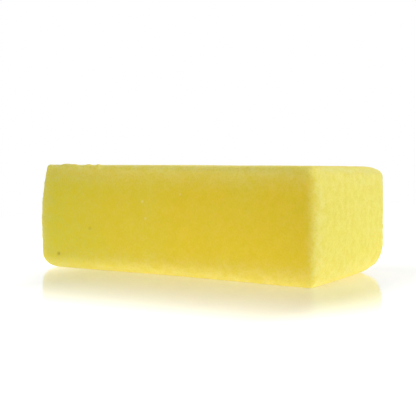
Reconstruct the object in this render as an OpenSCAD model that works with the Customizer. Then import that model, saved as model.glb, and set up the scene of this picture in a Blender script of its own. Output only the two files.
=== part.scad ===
// Cleaning sponge: one block of fine open-cell foam, knife-cut with soft edges.
// It lies on its broad face: length along X, front towards -Y, base on Z = 0, with the
// origin under the middle of the block. The skin is one closed surface, worked out as the
// blend of eight ellipsoids, one in each corner, that all touch the block's flat faces.

/* [Block] */
// Length, from the fullest point of one end to the fullest point of the other
block_l = 180; // [140:1:240]
// Width, from the front face to the back face
block_w = 100; // [80:1:150]
// Height as the block lies
block_h = 60; // [48:1:90]

/* [Upright edges at the foot] */
// Radius of the upright edge at the front of the left end, near the foot
left_front_foot_r = 10; // [3:0.5:16]
// Radius of the upright edge at the back of the left end, near the foot
left_back_foot_r = 8; // [3:0.5:16]
// Radius of the upright edge at the front of the right end, near the foot
right_front_foot_r = 3.5; // [2:0.5:16]
// Radius of the upright edge at the back of the right end, near the foot
right_back_foot_r = 11.5; // [3:0.5:18]

/* [Upright edges at the top] */
// Radius of the upright edge at the front of the left end, near the top
left_front_top_r = 5; // [2:0.5:16]
// Radius of the upright edge at the back of the left end, near the top
left_back_top_r = 6; // [3:0.5:16]
// Radius of the upright edge at the front of the right end, near the top
right_front_top_r = 6; // [2:0.5:16]
// Radius of the upright edge at the back of the right end, near the top
right_back_top_r = 12; // [3:0.5:18]

/* [Foot edges] */
// Height of the foot's rounding at the front corner of the left end
left_front_foot_h = 7.5; // [3:0.5:14]
// Height of the foot's rounding at the back corner of the left end
left_back_foot_h = 12; // [3:0.5:18]
// Height of the foot's rounding at the front corner of the right end
right_front_foot_h = 8; // [3:0.5:14]
// Height of the foot's rounding at the back corner of the right end, the roundest of the four
right_back_foot_h = 17.5; // [3:0.5:22]

/* [Top edges] */
// Height of the top's rounding at the front corner of the left end, which is nearly sharp
left_front_top_h = 1.5; // [1:0.5:12]
// Height of the top's rounding at the back corner of the left end
left_back_top_h = 4; // [1:0.5:12]
// Height of the top's rounding at the front corner of the right end
right_front_top_h = 6; // [1:0.5:12]
// Height of the top's rounding at the back corner of the right end
right_back_top_h = 5.5; // [1:0.5:14]

/* [Bow of the faces] */
// How far the left end's upper edge is set back from its fullest line
left_lean = 7.5; // [0:0.25:9]
// How far the left end's lower edge is set back from its fullest line
left_tuck = 1.5; // [0:0.25:5]
// Height of the left end's fullest line
left_full_z = 22; // [18:1:34]
// How far the right end's corners are set back from its middle
right_crown = 2; // [0:0.1:4]
// How far the front face is drawn in at the middle of its length
front_hollow = 3; // [0:0.25:5]
// How far the back face's rim is set back from its middle
back_crown = 1; // [0:0.25:4]
// How far the top face's rim is set below its middle
top_crown = 0.2; // [0:0.1:3]

/* [Smoothness] */
// Steps in half of each edge's rounding
edge_steps = 6; // [3:1:8]
// Longest step across a face
face_step = 10; // [8:1:20]

/* [Hidden] */

half_l = block_l / 2;
half_w = block_w / 2;

// How fast the bow of a face fades towards the opposite face
bow_fade = 3;

// Radii of the upright edges as [left, right][front, back][foot, top]
edge_r = [
    [[left_front_foot_r, left_front_top_r], [left_back_foot_r, left_back_top_r]],
    [[right_front_foot_r, right_front_top_r], [right_back_foot_r, right_back_top_r]]
];

// Heights of the foot's and the top's rounding as [left, right][front, back][foot, top]
round_h = [
    [[left_front_foot_h, left_front_top_h], [left_back_foot_h, left_back_top_h]],
    [[right_front_foot_h, right_front_top_h], [right_back_foot_h, right_back_top_h]]
];

// Half the length, width and height of each corner's ellipsoid
corner_reach = [for (i = [0, 1]) [for (j = [0, 1]) [for (k = [0, 1])
    [edge_r[i][j][k], edge_r[i][j][k], round_h[i][j][k]]]]];

// The centre of each ellipsoid, its own reach in from the three faces that it touches
corner_centre = [for (i = [0, 1]) [for (j = [0, 1]) [for (k = [0, 1])
    let (reach = corner_reach[i][j][k])
    [
        (2 * i - 1) * (half_l - reach.x),
        (2 * j - 1) * (half_w - reach.y),
        k == 0 ? reach.z : block_h - reach.z
    ]]]];

function mix(a, b, share) = a + (b - a) * share;

// A value given at the eight corners, blended by three shares from 0 to 1
function at_shares(v, s) =
    mix(mix(mix(v[0][0][0], v[0][0][1], s.z), mix(v[0][1][0], v[0][1][1], s.z), s.y),
        mix(mix(v[1][0][0], v[1][0][1], s.z), mix(v[1][1][0], v[1][1][1], s.z), s.y), s.x);

// Stations along one axis, each a share of the way between two centres and a lean of
// the surface's normal: -1 and 1 are the middles of the two roundings, and 0 is the flat
function stations(span) =
    let (steps = ceil(span / face_step))
    concat(
        [for (k = [-edge_steps : 0]) [0, tan(45 * k / edge_steps)]],
        [for (k = [1 : steps - 1]) [k / steps, 0]],
        [for (k = [0 : edge_steps]) [1, tan(45 * k / edge_steps)]]);

along_x = stations(block_l);
along_y = stations(block_w);
along_z = stations(block_h);

// 1 in the middle of a span that runs from -1 to 1, falling to 0 at both ends
function hump(u) = 1 - min(1, u * u);
function smooth_hump(u) = (1 + cos(180 * min(1, abs(u)))) / 2;

// How far the left end stands back from its fullest line at height z
function left_set_back(z) =
    z > left_full_z
        ? left_lean * pow((z - left_full_z) / (block_h - left_full_z), 2)
        : left_tuck * pow(1 - z / left_full_z, 2);

// The bows of the faces: a point on the straight-sided block moves inwards by its face's bow
function bowed(p) =
    let (
        u = p.x / half_l,
        v = p.y / half_w,
        w = 2 * p.z / block_h - 1,
        to_left = pow(max(-u, 0), bow_fade),
        to_right = pow(max(u, 0), bow_fade),
        to_back = pow(max(v, 0), bow_fade),
        front_r = max(left_front_foot_r, left_front_top_r, right_front_foot_r, right_front_top_r),
        flat_x = half_l - front_r
    )
    [
        p.x + left_set_back(p.z) * to_left - right_crown * (1 - (hump(v) + hump(w)) / 2) * to_right,
        p.y + front_hollow * smooth_hump(p.x / flat_x) * max(-v, 0)
            - back_crown * (1 - hump(u) * hump(w)) * to_back,
        p.z - top_crown * (1 - hump(u) * hump(v)) * p.z / block_h
    ];

// A point of the skin, from its station on each axis
function skin(x, y, z) =
    let (
        shares = [x[0], y[0], z[0]],
        lean = [x[1], y[1], z[1]],
        reach = at_shares(corner_reach, shares)
    )
    bowed(at_shares(corner_centre, shares)
        + [reach.x * lean.x, reach.y * lean.y, reach.z * lean.z] / norm(lean));

// The six faces as grids of points: the foot and top, the front and back, the two ends.
// Each row runs so that the grid's own normal points out of the block.
low = [0, -1];
high = [1, 1];
grids = [
    [for (y = along_y) [for (x = along_x) skin(x, y, high)]],
    [for (x = along_x) [for (y = along_y) skin(x, y, low)]],
    [for (x = along_x) [for (z = along_z) skin(x, high, z)]],
    [for (z = along_z) [for (x = along_x) skin(x, low, z)]],
    [for (z = along_z) [for (y = along_y) skin(high, y, z)]],
    [for (y = along_y) [for (z = along_z) skin(low, y, z)]]
];

function flat_list(lists) = [for (one = lists) each one];
function starts(sizes, k) = k == 0 ? 0 : starts(sizes, k - 1) + sizes[k - 1];

// Two triangles for each cell of a grid whose first point has the number first
function grid_faces(grid, first) =
    let (columns = len(grid[0]))
    [for (i = [0 : len(grid) - 2], j = [0 : columns - 2])
        let (a = first + i * columns + j, b = a + 1, c = b + columns, d = a + columns)
        each [[a, c, b], [a, d, c]]];

module foam_block() {
    sizes = [for (g = grids) len(g) * len(g[0])];
    color("#d9c240")
        polyhedron(
            points = flat_list(flat_list(grids)),
            faces = flat_list([for (k = [0 : len(grids) - 1]) grid_faces(grids[k], starts(sizes, k))]));
}

foam_block();
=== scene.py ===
"""A cleaning sponge: one knife-cut block of fine open-cell foam, lying on a pale polished floor.

Lengths are in metres and the frame is the CAD model's: +X along the block, +Y to its back, +Z up,
with the floor at zero. The block's skin follows the CAD solid, and its pores are cut into the mesh.
"""
import math

import bpy
import numpy as np
from mathutils import Matrix, Vector


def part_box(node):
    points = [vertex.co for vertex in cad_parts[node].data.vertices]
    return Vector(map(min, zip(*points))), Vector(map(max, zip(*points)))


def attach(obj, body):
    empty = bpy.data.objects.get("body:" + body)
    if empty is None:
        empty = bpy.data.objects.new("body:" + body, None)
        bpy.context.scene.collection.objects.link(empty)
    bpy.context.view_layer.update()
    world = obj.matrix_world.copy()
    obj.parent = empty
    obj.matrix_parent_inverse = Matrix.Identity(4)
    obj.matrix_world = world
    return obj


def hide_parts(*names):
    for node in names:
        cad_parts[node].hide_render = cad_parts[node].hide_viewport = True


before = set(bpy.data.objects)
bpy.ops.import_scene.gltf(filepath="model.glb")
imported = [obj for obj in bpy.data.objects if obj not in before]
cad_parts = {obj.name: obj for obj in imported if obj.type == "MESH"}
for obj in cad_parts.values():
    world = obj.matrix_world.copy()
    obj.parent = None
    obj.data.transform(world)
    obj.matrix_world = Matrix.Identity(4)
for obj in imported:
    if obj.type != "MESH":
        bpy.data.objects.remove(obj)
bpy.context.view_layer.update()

MM = 0.001

# The block. Its overall size comes from the CAD node. Its corners and bows repeat the part's source.
FOAM_LOW, FOAM_HIGH = (np.array(corner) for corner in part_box("foam_block"))
BLOCK_L, BLOCK_W, BLOCK_H = FOAM_HIGH - FOAM_LOW
HALF_L, HALF_W = BLOCK_L / 2, BLOCK_W / 2

# Radii of the upright edges, and heights of the foot's and the top's rounding, both given as
# [left, right][front, back][foot, top]
EDGE_R = np.array([[[10.0, 5.0], [8.0, 6.0]], [[3.5, 6.0], [11.5, 12.0]]]) * MM
ROUND_H = np.array([[[7.5, 1.5], [12.0, 4.0]], [[8.0, 6.0], [17.5, 5.5]]]) * MM

# How far the rims of the bowed faces stand back from their fullest lines, or the front's middle
# from its two ends
LEFT_LEAN = 7.5 * MM
LEFT_TUCK = 1.5 * MM
RIGHT_CROWN = 2.0 * MM
FRONT_HOLLOW = 3.0 * MM
BACK_CROWN = 1.0 * MM
TOP_CROWN = 0.2 * MM

# Height of the left end's fullest line, and the power with which the bows of the ends and the back
# fade across the block
LEFT_FULL_Z = 22.0 * MM
BOW_FADE = 3

# Mesh density: the longest step across a face, and the steps in half of an edge's rounding
FACE_STEP = 0.84 * MM
EDGE_STEPS = 7

# Points of two faces' rims that lie within this distance are welded into one
WELD = 1e-7

# Large numbers for the random patterns: one for each part of a triple, one for the seed, and two
# that stir the bits. The lowest 32 bits are kept on the way, and the lowest 24 at the end.
HASH_TRIPLE = np.array([73856093, 19349663, 83492791])
HASH_SEED = 668265263
HASH_STIR_FIRST, HASH_STIR_LAST = 1274126177, 2246822519
BITS_KEPT, BITS_USED = 0xFFFFFFFF, 0xFFFFFF


def hashed(cells, seed):
    """A number from 0 to 1 for each whole-number triple.

    The triple and the seed are each multiplied by a large number and joined bit by bit. Shifts and
    two more products then stir the bits, and the lowest of them make the number.
    """
    x, y, z = np.moveaxis(cells.astype(np.int64) * HASH_TRIPLE, -1, 0)
    bits = x ^ y ^ z ^ (seed * HASH_SEED)
    bits = (bits ^ (bits >> 15)) & BITS_KEPT
    bits = (bits * HASH_STIR_FIRST) & BITS_KEPT
    bits = bits ^ (bits >> 13)
    bits = (bits * HASH_STIR_LAST) & BITS_KEPT
    return ((bits ^ (bits >> 16)) & BITS_USED) / BITS_USED


def smooth_noise(points, size, seed):
    """Soft noise from -1 to 1, from random values on a cubic lattice of the given size.

    Along each axis the values are blended by the share s of the way between them, eased to 3 times
    s squared less 2 times s cubed.
    """
    place = points / size
    cell = np.floor(place)
    share = place - cell
    share = share * share * (3 - 2 * share)
    total = np.zeros(points.shape[:-1])
    for corner in np.ndindex(2, 2, 2):
        step = np.array(corner)
        weight = np.prod(np.where(step == 1, share, 1 - share), axis=-1)
        total += weight * hashed(cell + step, seed)
    return 2 * total - 1


def pores(points, spacing, share, small, large, seed):
    """Depth of round pores, from 0 outside them to 1 at the middle of the largest.

    The given share of a cubic lattice's cells hold one ball each, at a random place in the cell. At
    the distance d from the centre of a ball of radius r, the depth is (1 - (d / r) squared) squared,
    times r over the largest radius. Where balls overlap the deepest counts.
    """
    place = points / spacing
    cell = np.floor(place)
    deepest = np.zeros(points.shape[:-1])
    for offset in np.ndindex(3, 3, 3):
        near = cell + np.array(offset) - 1
        centre = near + np.stack([hashed(near, seed + k) for k in (1, 2, 3)], axis=-1)
        size = hashed(near, seed + 4)
        radius = (small + (large - small) * size ** 2) / spacing
        away = np.sum((place - centre) ** 2, axis=-1) / radius ** 2
        depth = np.clip(1 - away, 0, 1) ** 2 * radius * spacing / large
        held = hashed(near, seed + 5) < share
        deepest = np.maximum(deepest, np.where(held, depth, 0))
    return deepest


def blend_corners(values, shares):
    """Triples given at the block's eight corners, blended linearly by a share along each axis."""
    blended = 0
    for corner in np.ndindex(2, 2, 2):
        weight = np.prod(np.where(np.array(corner) == 1, shares, 1 - shares), axis=-1)
        blended = blended + weight[..., None] * values[corner]
    return blended


def stations(span):
    """Stations along one axis as rows of (share of the way between two centres, lean).

    The lean is 0 on the flat. Over half a rounding it runs through the tangents of even angles up
    to 45 degrees.
    """
    angle = np.radians(45) * np.arange(EDGE_STEPS + 1) / EDGE_STEPS
    steps = math.ceil(span / FACE_STEP)
    flat = np.arange(1, steps) / steps
    low = np.column_stack([np.zeros(EDGE_STEPS + 1), -np.tan(angle[::-1])])
    middle = np.column_stack([flat, np.zeros(steps - 1)])
    high = np.column_stack([np.ones(EDGE_STEPS + 1), np.tan(angle)])
    return np.vstack([low, middle, high])


def bowed(points):
    """Moves points of the straight-sided block inwards by the bow of the face that they lie on.

    The left end stands back by the square of the distance above or below its fullest line, and the
    front by a raised cosine along its flat length. The right end, the back and the top fall away as
    parabolas from their middles to their rims. Each bow fades towards the face opposite its own.
    """
    x, y, z = np.moveaxis(points, -1, 0)
    u, v, w = x / HALF_L, y / HALF_W, 2 * z / BLOCK_H - 1
    hump_u, hump_v, hump_w = (1 - np.minimum(1, t * t) for t in (u, v, w))
    to_left, to_right, to_back = (np.maximum(t, 0) ** BOW_FADE for t in (-u, u, v))
    above = LEFT_LEAN * ((z - LEFT_FULL_Z) / (BLOCK_H - LEFT_FULL_Z)) ** 2
    below = LEFT_TUCK * (1 - z / LEFT_FULL_Z) ** 2
    set_back = np.where(z > LEFT_FULL_Z, above, below)
    flat_x = HALF_L - EDGE_R[:, 0].max()
    hollow = FRONT_HOLLOW * (1 + np.cos(np.pi * np.minimum(1, np.abs(x / flat_x)))) / 2
    return np.stack([
        x + set_back * to_left - RIGHT_CROWN * (1 - (hump_v + hump_w) / 2) * to_right,
        y + hollow * np.maximum(-v, 0) - BACK_CROWN * (1 - hump_u * hump_w) * to_back,
        z - TOP_CROWN * (1 - hump_u * hump_v) * z / BLOCK_H,
    ], axis=-1)


def skin(x, y, z):
    """Points and outward directions of the straight-sided skin at stations on the three axes.

    Each corner holds an ellipsoid that touches the block's flat sides. A point is the blend of the
    eight centres plus, along each axis, the blend of their reaches times the lean of unit length.
    """
    shares = np.stack(np.broadcast_arrays(x[..., 0], y[..., 0], z[..., 0]), axis=-1)
    lean = np.stack(np.broadcast_arrays(x[..., 1], y[..., 1], z[..., 1]), axis=-1)
    outward = lean / np.linalg.norm(lean, axis=-1, keepdims=True)
    side = np.stack(np.meshgrid([-1, 1], [-1, 1], [-1, 1], indexing="ij"), axis=-1)
    reach = np.stack([EDGE_R, EDGE_R, ROUND_H], axis=-1)
    centre = side * (np.array([HALF_L, HALF_W, BLOCK_H / 2]) - reach)
    centre[..., 2] += BLOCK_H / 2
    return blend_corners(centre, shares) + blend_corners(reach, shares) * outward, outward


def grid_faces(rows, columns, first):
    """Four-sided faces of a grid of points, numbered along its rows from the number first."""
    a = first + (np.arange(rows - 1)[:, None] * columns + np.arange(columns - 1)).ravel()
    return np.column_stack([a, a + 1, a + columns + 1, a + columns])


def block_skin():
    """The straight-sided block's closed skin: six grids of points, welded where their rims meet."""
    along_x, along_y, along_z = (stations(span) for span in (BLOCK_L, BLOCK_W, BLOCK_H))
    low, high = np.array([0.0, -1.0]), np.array([1.0, 1.0])
    row, column = np.s_[:, None], np.s_[None, :]
    grids = [
        skin(along_x[column], along_y[row], high),
        skin(along_x[row], along_y[column], low),
        skin(along_x[row], high, along_z[column]),
        skin(along_x[column], low, along_z[row]),
        skin(high, along_y[column], along_z[row]),
        skin(low, along_y[row], along_z[column]),
    ]
    points, outward, faces, first = [], [], [], 0
    for grid, leans in grids:
        rows, columns = grid.shape[:2]
        points.append(grid.reshape(-1, 3))
        outward.append(leans.reshape(-1, 3))
        faces.append(grid_faces(rows, columns, first))
        first += rows * columns
    points, outward, faces = np.vstack(points), np.vstack(outward), np.vstack(faces)
    _, keep, number = np.unique(np.round(points / WELD), axis=0, return_index=True, return_inverse=True)
    return points[keep], outward[keep], number.ravel()[faces]


# The cut surface. Real cells are 0.5 to 1 mm across, near the render's half millimetre for each
# pixel, so the pores that the mesh holds are the coarser ones, and the material draws the rest.
# Pores, open holes and specks each have a lattice spacing, radii, a height or depth, and the share of
# lattice cells that hold one. The material paints shade into the holes and a pale glint onto the
# specks.
PORE_SPACING = 2.1 * MM
PORE_SMALL, PORE_LARGE = 0.7 * MM, 1.5 * MM
PORE_DEPTH = 0.22 * MM
PORE_SHARE = 0.8
HOLE_SPACING = 8.0 * MM
HOLE_SMALL, HOLE_LARGE = 0.8 * MM, 1.6 * MM
HOLE_DEPTH = 0.6 * MM
HOLE_SHARE = 0.035
SPECK_SPACING = 7.0 * MM
SPECK_SMALL, SPECK_LARGE = 0.8 * MM, 1.3 * MM
SPECK_HEIGHT = 0.35 * MM
SPECK_SHARE = 0.05

# Soft noise: fine grain and long waves everywhere, and fraying along the rounded edges
GRAIN_SIZE, GRAIN_HEIGHT = 1.3 * MM, 0.10 * MM
WAVE_SIZE, WAVE_HEIGHT = 26.0 * MM, 0.2 * MM
FRAY_SIZE, FRAY_HEIGHT = 2.6 * MM, 0.22 * MM

# The seed of each random pattern
SEED = {"wave": 11, "grain": 23, "fray": 31, "pore": 41, "hole": 57, "speck": 67, "tuft": 79}

# Of the outward direction's three parts, the largest is 1 on a flat face. Fraying is full where it
# has fallen this far below 1.
FRAY_FULL = 0.2

# Painted light makes the end faces paler. The surface counts wholly as an end face where the outward
# direction's part along X reaches this, and short of it by the square of the share that it has reached
LIT_END_FULL = 0.7

# Up to this height above the floor the relief fades in, so that the foot lies flat
RELIEF_FULL_Z = 3 * MM

# Marks that the photograph shows, in millimetres: place, radius and how strong each is. The first are
# open holes, which the material darkens with painted shade, the second are raised torn struts, which it
# pales with a painted glint, and of these the last stands out from the outline of the right end.
SEEN_HOLES = ((-72.8, -49.9, 8.8, 1.6, 0.9), (-50.8, -49.1, 24.1, 1.4, 0.4))
SEEN_SPECKS = ((-15.6, -47.3, 40.1, 1.2, 1.0), (-13.6, -47.2, 30.9, 1.1, 1.0),
               (8.6, -47.1, 44.4, 0.9, 1.0), (88.6, 42.0, 26.0, 1.6, 1.5))

# Places where the foam is worn away, below zero, or swollen, in millimetres: place, radius, how far
DENTS = ((78.5, 39.5, 0.0, 9.0, -1.8), (88.0, 42.0, 13.0, 13.0, 0.5),
         (-87.0, -45.0, 8.0, 10.0, 0.45), (85.0, 44.0, 58.0, 7.0, 0.3))

# Painted light makes the rims of the faces paler over this width, and over a narrower one towards the
# right end. The paleness falls off with this power.
RIM_WIDTH = 15 * MM
RIGHT_RIM_WIDTH = 7 * MM
RIM_FALL = 1.5

# Torn tufts that the knife left on the front upper edge near the left end, in millimetres: the
# middle along X, half the length, the height. Their ridge runs a little behind the front face, and
# they fade out over the width on both sides of it. A share of their height is ragged.
TUFTS = ((-80.9, 1.5, 0.6), (-66.6, 5.9, 1.4), (-53.4, 2.3, 1.6), (-46.2, 1.7, 1.9))
TUFT_SET_BACK = 1.5 * MM
TUFT_WIDTH = 4 * MM
TUFT_RAGGED = 0.15


def tuft_rise(points):
    """Height of the torn tufts: flat-topped humps along X that fade with the distance from the ridge.

    A hump is its height times 1 minus the fourth power of the distance from its middle over half its
    length.
    """
    to_ridge = np.hypot(points[..., 1] + HALF_W - TUFT_SET_BACK, points[..., 2] - BLOCK_H)
    fade = np.clip(1 - to_ridge / TUFT_WIDTH, 0, 1)
    rise = np.zeros(points.shape[:-1])
    for middle, half, height in TUFTS:
        along = np.abs(points[..., 0] / MM - middle) / half
        rise = np.maximum(rise, height * MM * np.clip(1 - along ** 4, 0, 1))
    ragged = 1 - TUFT_RAGGED + TUFT_RAGGED * smooth_noise(points, FRAY_SIZE, SEED["tuft"])
    return rise * fade * ragged


def marks(points, places):
    """The sum of single round marks.

    At the distance d from the middle of a mark of radius r, it adds its strength times
    (1 - (d / r) squared) squared.
    """
    total = np.zeros(points.shape[:-1])
    for *place, radius, strength in places:
        away = np.sum((points / MM - np.array(place)) ** 2, axis=-1) / radius ** 2
        total += strength * np.clip(1 - away, 0, 1) ** 2
    return total


def painted_rim_light(straight):
    """How much painted rim light a point of the straight-sided block takes, from 0 to 1 at an edge.

    Of the distances to the nearer end, side and broad face, each over its rim's width, the
    second smallest says how near the closest edge is. The paleness is 1 less that distance, to
    the power of its fall.
    """
    x, y, z = straight.T
    to_end = np.where(x > 0, (HALF_L - x) / RIGHT_RIM_WIDTH, (HALF_L + x) / RIM_WIDTH)
    to_side = (HALF_W - np.abs(y)) / RIM_WIDTH
    to_broad_face = np.minimum(z, BLOCK_H - z) / RIM_WIDTH
    to_edge = np.sort(np.stack([to_end, to_side, to_broad_face], axis=-1), axis=-1)[:, 1]
    return np.clip(1 - to_edge, 0, 1) ** RIM_FALL


def make_foam_block():
    """The foam block: the bowed skin with its cut surface.

    Each point moves along its outward direction by the sum of waves, grain, fraying and specks less the
    pores and holes, all of which fade out at the floor, and by the dents. The torn tufts then lift it.
    Four numbers for each point go to the material: how much of a hole, which takes painted shade, a
    speck, which takes a painted glint, a rim and an end face, which take painted light.
    """
    straight, outward, faces = block_skin()
    points = bowed(straight)
    rounding = 1 - np.max(np.abs(outward), axis=-1)
    wave = WAVE_HEIGHT * smooth_noise(points, WAVE_SIZE, SEED["wave"])
    grain = GRAIN_HEIGHT * smooth_noise(points, GRAIN_SIZE, SEED["grain"])
    fray = FRAY_HEIGHT * smooth_noise(points, FRAY_SIZE, SEED["fray"])
    fray = fray * np.clip(rounding / FRAY_FULL, 0, 1)
    pore = pores(points, PORE_SPACING, PORE_SHARE, PORE_SMALL, PORE_LARGE, SEED["pore"])
    hole = pores(points, HOLE_SPACING, HOLE_SHARE, HOLE_SMALL, HOLE_LARGE, SEED["hole"])
    hole = np.maximum(hole, marks(points, SEEN_HOLES))
    speck = pores(points, SPECK_SPACING, SPECK_SHARE, SPECK_SMALL, SPECK_LARGE, SEED["speck"])
    speck = np.maximum(speck, marks(points, SEEN_SPECKS))
    off_floor = np.clip(points[:, 2] / RELIEF_FULL_Z, 0, 1)
    relief = wave + grain + fray - PORE_DEPTH * pore - HOLE_DEPTH * hole + SPECK_HEIGHT * speck
    # Masks for the painted light at the rims and on the end faces
    rim = painted_rim_light(straight)
    lit_end_face = np.clip(np.abs(outward[:, 0]) / LIT_END_FULL, 0, 1) ** 2
    points = points + outward * (relief * off_floor + marks(points, DENTS) * MM)[:, None]
    points[:, 2] += tuft_rise(points)

    mesh = bpy.data.meshes.new("foam_block_skin")
    mesh.from_pydata(points.tolist(), [], faces.tolist())
    mesh.polygons.foreach_set("use_smooth", np.ones(len(faces), dtype=bool))
    for name, values in (("hole", hole), ("speck", speck), ("rim", rim), ("lit_end_face", lit_end_face)):
        layer = mesh.attributes.new(name, "FLOAT", "POINT")
        layer.data.foreach_set("value", values.astype(np.float32))
    mesh.update()
    block = bpy.data.objects.new("foam_block_skin", mesh)
    bpy.context.collection.objects.link(block)
    return block


def linear(hex_colour):
    """An sRGB hex colour as linear red, green, blue and alpha."""
    parts = [int(hex_colour[k:k + 2], 16) / 255 for k in (1, 3, 5)]
    return tuple(c / 12.92 if c <= 0.04045 else ((c + 0.055) / 1.055) ** 2.4 for c in parts) + (1.0,)


def add_node(tree, kind, inputs=None, **settings):
    """Adds one node with its settings, and fills its inputs by name or number.

    An input takes a value, another node's output, or another node, which stands for its first output.
    """
    node = tree.nodes.new(kind)
    for name, value in settings.items():
        setattr(node, name, value)
    for name, value in (inputs or {}).items():
        source = value.outputs[0] if isinstance(value, bpy.types.Node) else value
        if isinstance(source, bpy.types.NodeSocket):
            tree.links.new(source, node.inputs[name])
        else:
            node.inputs[name].default_value = source
    return node


def new_tree(owner):
    """An empty node tree on a material or world."""
    owner.use_nodes = True
    owner.node_tree.nodes.clear()
    return owner.node_tree


# The foam's colours. The dye drifts at random between two golden shades. Painted shade makes it and the
# rims' painted light greener and darker from the first of two places along X to the second.
GOLDEN, WARM_GOLDEN, LEFT_SHADE_GREEN = "#EFDB49", "#F4D83C", "#DFD74A"
# Painted light at the rims and on the struts, and the rims' painted shade towards the left end
RIM_AND_STRUT_LIGHT_YELLOW, LEFT_SHADE_RIM = "#F6E98C", "#E2DB82"
LEFT_SHADE_SPAN = (-15 * MM, -85 * MM)
# Painted light: the end faces' pale yellow. Painted shade: the deep yellow of the cells, which the
# random mottle takes too.
LIT_END_YELLOW, CELL_SHADE_AND_MOTTLE_YELLOW = "#FAEC77", "#E8D400"
# Painted shade: the holes' olive. A painted glint: the specks' cream. The sheen's cream is the shader's
# own.
HOLE_SHADE_OLIVE, SPECK_GLINT_CREAM, SHEEN_CREAM = "#A88C20", "#FAE884", "#FFF6C0"

# Sizes of the foam's patterns, in millimetres, and the detail of the noise in three of them. The
# cells are a little coarser than the real ones, which would be too fine to show.
CELL_MM = 1.2
GRAIN_MM, GRAIN_DETAIL = 0.7, 2.0
MOTTLE_MM, MOTTLE_DETAIL = 4.5, 3.0
DRIFT_MM, DRIFT_DETAIL = 45.0, 1.0

# The values of each pattern between which it goes over from one colour or height to the other
DRIFT_SPAN = (0.35, 0.65)
MOTTLE_SPAN = (0.30, 0.60)
CELL_SPAN = (0.10, 0.55)
STRUT_SPAN = (0.55, 0.95)
HOLE_SPAN = (0.0, 1.4)
SPECK_SPAN = (0.10, 0.60)
CELL_DEPTH_SPAN = (0.0, 0.6)

# How much of the deep yellow the random mottle and, as painted shade, the cells take, and of the pale
# one, as painted light, the struts
MOTTLE_SHARE = 0.40
CELL_SHARE = 0.45
STRUT_SHARE = 0.10

# The span of a pattern that is a share already, and the shares of a layer that shows in full
WHOLE = (0.0, 1.0)


def open_cell_foam():
    """Open-cell polyurethane foam, dyed yellow in the mix and knife-cut.

    The eye sees matte golden yellow with a faint drift of hue from the mixing. Painted light makes it
    paler on the struts, at the rims and on the end faces, and painted shade makes it deeper in the
    cells, darker in the holes and greener and darker towards the left end. The specks carry painted
    glints.
    """
    material = bpy.data.materials.new("open_cell_polyurethane_foam_knife_cut")
    tree = new_tree(material)
    where = add_node(tree, "ShaderNodeTexCoord").outputs["Object"]
    along = add_node(tree, "ShaderNodeSeparateXYZ", {0: where})
    cells = add_node(tree, "ShaderNodeTexVoronoi", {"Vector": where, "Scale": 1000 / CELL_MM},
                     feature="F1")
    grain, mottle, drift = (
        add_node(tree, "ShaderNodeTexNoise", {
            "Vector": where, "Scale": 1000 / size_mm, "Detail": detail})
        for size_mm, detail in (
            (GRAIN_MM, GRAIN_DETAIL), (MOTTLE_MM, MOTTLE_DETAIL), (DRIFT_MM, DRIFT_DETAIL)))
    hole, speck, rim, lit_end_face = (
        add_node(tree, "ShaderNodeAttribute", attribute_name=name).outputs["Fac"]
        for name in ("hole", "speck", "rim", "lit_end_face"))

    def layered(colour, *layers):
        """A colour under others, each laid over it where a pattern says.

        A layer is its pattern, the two values between which that goes over, how much of the layer
        shows at each of the two, and its colour.
        """
        for pattern, (low, high), (at_low, at_high), layer_colour in layers:
            share = add_node(tree, "ShaderNodeMapRange", {
                "Value": pattern, "From Min": low, "From Max": high,
                "To Min": at_low, "To Max": at_high})
            colour = add_node(tree, "ShaderNodeMix", {0: share, 6: colour, 7: layer_colour},
                              data_type="RGBA").outputs[2]
        return colour

    # The rims' painted light, with painted shade towards the left end
    rim_light_colour = layered(linear(RIM_AND_STRUT_LIGHT_YELLOW), (along, LEFT_SHADE_SPAN, WHOLE, linear(LEFT_SHADE_RIM)))
    colour = layered(
        linear(GOLDEN),
        (drift, DRIFT_SPAN, WHOLE, linear(WARM_GOLDEN)),
        # Painted shade: greener and darker towards the left end
        (along, LEFT_SHADE_SPAN, WHOLE, linear(LEFT_SHADE_GREEN)),
        # Painted light: the pale end faces and rims
        (lit_end_face, WHOLE, WHOLE, linear(LIT_END_YELLOW)),
        (rim, WHOLE, WHOLE, rim_light_colour),
        (mottle, MOTTLE_SPAN, (MOTTLE_SHARE, 0.0), linear(CELL_SHADE_AND_MOTTLE_YELLOW)),
        # Painted shade deepens the cells, and painted light pales the struts
        (cells, CELL_SPAN, (CELL_SHARE, 0.0), linear(CELL_SHADE_AND_MOTTLE_YELLOW)),
        (cells, STRUT_SPAN, (0.0, STRUT_SHARE), linear(RIM_AND_STRUT_LIGHT_YELLOW)),
        # Painted shade in the holes and painted glints on the specks
        (hole, HOLE_SPAN, WHOLE, linear(HOLE_SHADE_OLIVE)),
        (speck, SPECK_SPAN, WHOLE, linear(SPECK_GLINT_CREAM)))

    cell_low, cell_high = CELL_DEPTH_SPAN
    cell_relief = add_node(tree, "ShaderNodeMapRange", {
        "Value": cells, "From Min": cell_low, "From Max": cell_high})
    height = add_node(tree, "ShaderNodeMath", {0: cell_relief, 1: grain}, operation="ADD")
    bump = add_node(tree, "ShaderNodeBump", {
        "Strength": 0.35, "Distance": 0.35 * MM, "Height": height})
    surface = add_node(tree, "ShaderNodeBsdfPrincipled", {
        "Base Color": colour,
        "Roughness": 0.85,
        "IOR": 1.5,
        "Specular IOR Level": 0.3,
        "Subsurface Weight": 0.7,
        "Subsurface Radius": (1.0, 0.8, 0.25),
        "Subsurface Scale": 6.0 * MM,
        "Sheen Weight": 0.35,
        "Sheen Roughness": 0.5,
        "Sheen Tint": linear(SHEEN_CREAM),
        "Normal": bump,
    })
    add_node(tree, "ShaderNodeOutputMaterial", {"Surface": surface})
    return material


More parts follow.
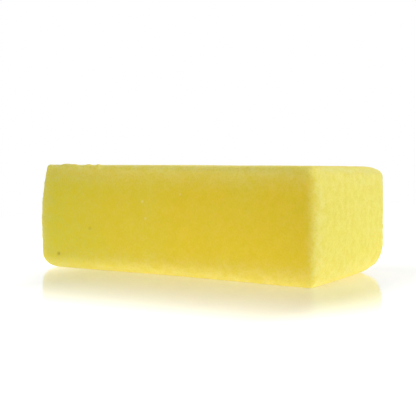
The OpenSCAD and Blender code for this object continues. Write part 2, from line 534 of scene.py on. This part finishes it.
# The floor is a white sheet with a gloss and a light below it. Each of its patches is full inside
# a rectangle, given by its middle and its half sides, and fades out over its reach beyond them.
FLOOR_HALF = 3.0
BLOCK_MIDDLE = (0, 0, 0)
BLOCK_HALF = (HALF_L, HALF_W, 0)

# The gloss mirrors the block, a little dimmer than it is. The sheet shows the block's shadows out
# to this many of the gloss's reaches.
GLOSS_AT_BLOCK = 0.77
GLOSS_MIDDLE = (0.028, 0, 0)
GLOSS_HALF = (0.078, 0.050, 0)
GLOSS_REACH = (0.078, 0.185, 1.0)
GLOSS_ROUGHNESS = 0.08
MIRROR_WHITE = "#DDDDDD"
SHADE_FADE = 6.0

# What lights the block from below: a patch a little to the left of it, dimmed close to the block,
# which covers it there
LAMP_BELOW = 0.88
LAMP_MIDDLE = (-0.015, 0, 0)
LAMP_REACH = (0.055, 0.115, 1.0)
LAMP_COVERED = 0.46
COVERED_REACH = (0.030, 0.045, 1.0)
SHEET_WHITE = "#F2F2F2"

# What the camera sees of the sheet: a white glow, and on it the light and the shadows of the lamps
GLOW_WHITE = "#FFFFFF"
GLOW_STRENGTH = 1.0
SHADE_WHITE = "#F9F9F9"

# In front of the block, under its mirror image, the glow is dimmer by this much
SHADOW_DEPTH = 0.27
SHADOW_MIDDLE = (0.033, -0.083, 0)
SHADOW_HALF = (0.068, 0.028, 0)
SHADOW_REACH = (0.025, 0.070, 1.0)


def polished_floor():
    """White polished acrylic sheet, lit from below: it mirrors the block and keeps its shadow.

    The camera sees a mix of the mirror and the glowing, shaded sheet near the block, and the sheet
    alone beyond. All other rays meet a plain white sheet with the light below it, which lights the
    block's foot.
    """
    mesh = bpy.data.meshes.new("floor")
    corners = [(-1, -1), (1, -1), (1, 1), (-1, 1)]
    mesh.from_pydata([(x * FLOOR_HALF, y * FLOOR_HALF, 0) for x, y in corners], [], [(0, 1, 2, 3)])
    floor = bpy.data.objects.new("floor", mesh)
    bpy.context.collection.objects.link(floor)

    material = bpy.data.materials.new("white_acrylic_polished")
    tree = new_tree(material)
    where = add_node(tree, "ShaderNodeTexCoord").outputs["Object"]

    def patch(middle, half, reach, full, fade=1.0):
        """A value that is full inside a rectangle and eases to 0 at so many reaches beyond it.

        How far a point is outside the rectangle along each axis is divided by the reach along that
        axis. The length of the three together is its distance.
        """
        place, zero = where, (0, 0, 0)
        for operation, other in (("SUBTRACT", middle), ("ABSOLUTE", zero), ("SUBTRACT", half),
                                 ("MAXIMUM", zero), ("DIVIDE", reach), ("LENGTH", zero)):
            place = add_node(tree, "ShaderNodeVectorMath", {0: place, 1: other}, operation=operation)
        return add_node(tree, "ShaderNodeMapRange", {
            "Value": place.outputs["Value"], "From Min": 0.0, "From Max": fade,
            "To Min": full, "To Max": 0.0}, interpolation_type="SMOOTHSTEP")

    lamp_patch = patch(LAMP_MIDDLE, BLOCK_HALF, LAMP_REACH, LAMP_BELOW)
    covered_patch = patch(BLOCK_MIDDLE, BLOCK_HALF, COVERED_REACH, LAMP_COVERED)
    uncovered = add_node(tree, "ShaderNodeMath", {0: lamp_patch, 1: covered_patch},
                         operation="SUBTRACT")
    below = add_node(tree, "ShaderNodeMath", {0: uncovered, 1: 0.0}, operation="MAXIMUM")
    lamp = add_node(tree, "ShaderNodeAddShader", {
        0: add_node(tree, "ShaderNodeBsdfDiffuse", {"Color": linear(SHEET_WHITE)}),
        1: add_node(tree, "ShaderNodeEmission", {"Color": linear(GLOW_WHITE), "Strength": below})})

    shadow_patch = patch(SHADOW_MIDDLE, SHADOW_HALF, SHADOW_REACH, SHADOW_DEPTH)
    dimmed = add_node(tree, "ShaderNodeMath", {0: GLOW_STRENGTH, 1: shadow_patch},
                      operation="SUBTRACT")
    shaded = add_node(tree, "ShaderNodeAddShader", {
        0: add_node(tree, "ShaderNodeBsdfDiffuse", {"Color": linear(SHADE_WHITE)}),
        1: add_node(tree, "ShaderNodeEmission", {"Color": linear(GLOW_WHITE), "Strength": dimmed})})
    glowing = add_node(tree, "ShaderNodeEmission", {
        "Color": linear(GLOW_WHITE), "Strength": GLOW_STRENGTH})
    shade_patch = patch(GLOSS_MIDDLE, GLOSS_HALF, GLOSS_REACH, 1.0, SHADE_FADE)
    sheet = add_node(tree, "ShaderNodeMixShader", {0: shade_patch, 1: glowing, 2: shaded})

    mirror = add_node(tree, "ShaderNodeBsdfGlossy", {
        "Color": linear(MIRROR_WHITE), "Roughness": GLOSS_ROUGHNESS})
    gloss_patch = patch(GLOSS_MIDDLE, GLOSS_HALF, GLOSS_REACH, GLOSS_AT_BLOCK)
    seen = add_node(tree, "ShaderNodeMixShader", {0: gloss_patch, 1: sheet, 2: mirror})
    to_camera = add_node(tree, "ShaderNodeLightPath").outputs["Is Camera Ray"]
    surface = add_node(tree, "ShaderNodeMixShader", {0: to_camera, 1: lamp, 2: seen})
    add_node(tree, "ShaderNodeOutputMaterial", {"Surface": surface})
    mesh.materials.append(material)


# The studio as a light: its level, and its faintly green white
STUDIO_LEVEL = 0.29
STUDIO_COLOUR = "#F8FFF4"

# The studio as the camera and a gloss see it
BACKDROP_COLOUR, BACKDROP_LEVEL = "#FFFFFF", 1.0


def studio_world():
    """A soft even studio: white where the camera, a mirror or glass looks, dimmer as a light."""
    world = bpy.data.worlds.new("studio")
    bpy.context.scene.world = world
    tree = new_tree(world)
    path = add_node(tree, "ShaderNodeLightPath").outputs
    seen = path["Is Camera Ray"]
    for ray in ("Is Glossy Ray", "Is Transmission Ray"):
        seen = add_node(tree, "ShaderNodeMath", {0: seen, 1: path[ray]}, operation="MAXIMUM")
    light, backdrop = (
        add_node(tree, "ShaderNodeBackground", {"Color": linear(colour), "Strength": level})
        for colour, level in ((STUDIO_COLOUR, STUDIO_LEVEL), (BACKDROP_COLOUR, BACKDROP_LEVEL)))
    both = add_node(tree, "ShaderNodeMixShader", {0: seen, 1: light, 2: backdrop})
    add_node(tree, "ShaderNodeOutputWorld", {"Surface": both})


# The lamps: name, place, the point that it faces, side, watts and colour. The strongest stands off
# the right end, which is the palest face. The one behind lights the back and the left end, and its
# shadow falls under the mirror image.
LAMPS = (
    ("over_head", (0.05, -0.25, 0.75), (0, -0.1, 0), 0.5, 1.3, "#FFFFFF"),
    ("right_side", (1.2, 0.25, 0.35), (0.05, 0, 0.03), 0.8, 7.9, "#FFFDF2"),
    ("back_left", (-0.35, 0.65, 0.4), (0, 0, 0.03), 0.45, 2.6, "#FFFFFF"),
    ("front_fill", (-0.1, -0.7, 0.2), (0, -0.05, 0.02), 0.4, 0.75, "#FFEBA8"),
)


def soft_box(name, place, target, size, power, colour):
    """A square area lamp at one place, turned towards another."""
    light = bpy.data.lights.new(name, "AREA")
    light.shape = "SQUARE"
    light.size = size
    light.energy = power
    light.color = linear(colour)[:3]
    lamp = bpy.data.objects.new(name, light)
    lamp.location = place
    lamp.rotation_euler = (Vector(target) - Vector(place)).to_track_quat("-Z", "Y").to_euler()
    bpy.context.collection.objects.link(lamp)


# The camera, fitted to the photograph's outline: level with the block's top, off its right end
FRAME_PX = 416
FOCAL_PX = 912.1
SENSOR_MM = 36.0
NEAREST_SEEN = 0.01
CAMERA_PLACE = (0.27237, -0.45284, 0.05870)
CAMERA_YAW, CAMERA_PITCH, CAMERA_ROLL = (math.radians(a) for a in (-31.265, 2.534, -0.336))


def aim_camera():
    """The camera, from its place and three angles: heading, dip below the horizon and roll."""
    lens = bpy.data.cameras.new("camera")
    lens.sensor_width = SENSOR_MM
    lens.lens = SENSOR_MM * FOCAL_PX / FRAME_PX
    lens.clip_start = NEAREST_SEEN
    camera = bpy.data.objects.new("camera", lens)
    ahead = Vector((math.sin(CAMERA_YAW) * math.cos(CAMERA_PITCH),
                    math.cos(CAMERA_YAW) * math.cos(CAMERA_PITCH), -math.sin(CAMERA_PITCH)))
    level = Vector((math.cos(CAMERA_YAW), -math.sin(CAMERA_YAW), 0))
    down = ahead.cross(level)
    right = level * math.cos(CAMERA_ROLL) + down * math.sin(CAMERA_ROLL)
    up = level * math.sin(CAMERA_ROLL) - down * math.cos(CAMERA_ROLL)
    turn = Matrix((right, up, -ahead)).transposed()
    camera.matrix_world = Matrix.Translation(CAMERA_PLACE) @ turn.to_4x4()
    bpy.context.collection.objects.link(camera)
    bpy.context.scene.camera = camera


aim_camera()

foam = make_foam_block()
foam.data.materials.append(open_cell_foam())
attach(foam, "root")
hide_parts("foam_block")

polished_floor()
studio_world()
for settings in LAMPS:
    soft_box(*settings)
bpy.context.scene.view_settings.view_transform = "Standard"
